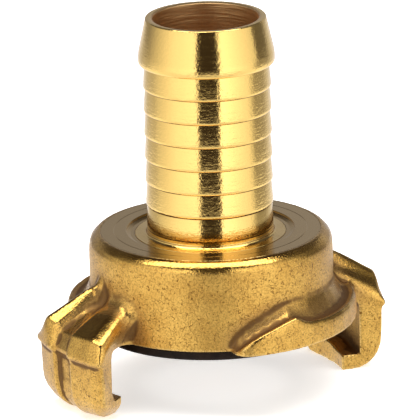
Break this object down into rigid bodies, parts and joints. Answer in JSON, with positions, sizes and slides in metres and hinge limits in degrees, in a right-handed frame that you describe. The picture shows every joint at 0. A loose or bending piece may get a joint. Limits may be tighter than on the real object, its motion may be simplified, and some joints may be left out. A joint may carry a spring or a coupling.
{
  "type": "claw hose coupling",
  "caption": "Brass quick coupling for water hose: a forged claw ring with ramped flanges turns freely on a ridged hose tail and seals on a rubber face ring.",
  "frame": {"origin": "on the axis of the waterway, at the height of the claws' feet", "axes": "+Z along the waterway from the sealing face to the hose end, +X through one claw and -X through the other"},
  "size_m": [0.054, 0.0434, 0.0573],
  "materials": {
    "forged_brass": "satin",
    "turned_brass": "polished",
    "seal_rubber": "matte"
  },
  "bodies": {
    "coupling": {"claw_ring": "forged_brass", "face_seal": "seal_rubber"},
    "tail": {"hose_tail": "turned_brass"}
  },
  "joints": [
    {"name": "tail_swivel", "type": "hinge", "parent": "coupling", "child": "tail", "pos_m": [0, 0, 0.018], "axis": [0, 0, 1], "continuous": true}
  ]
}
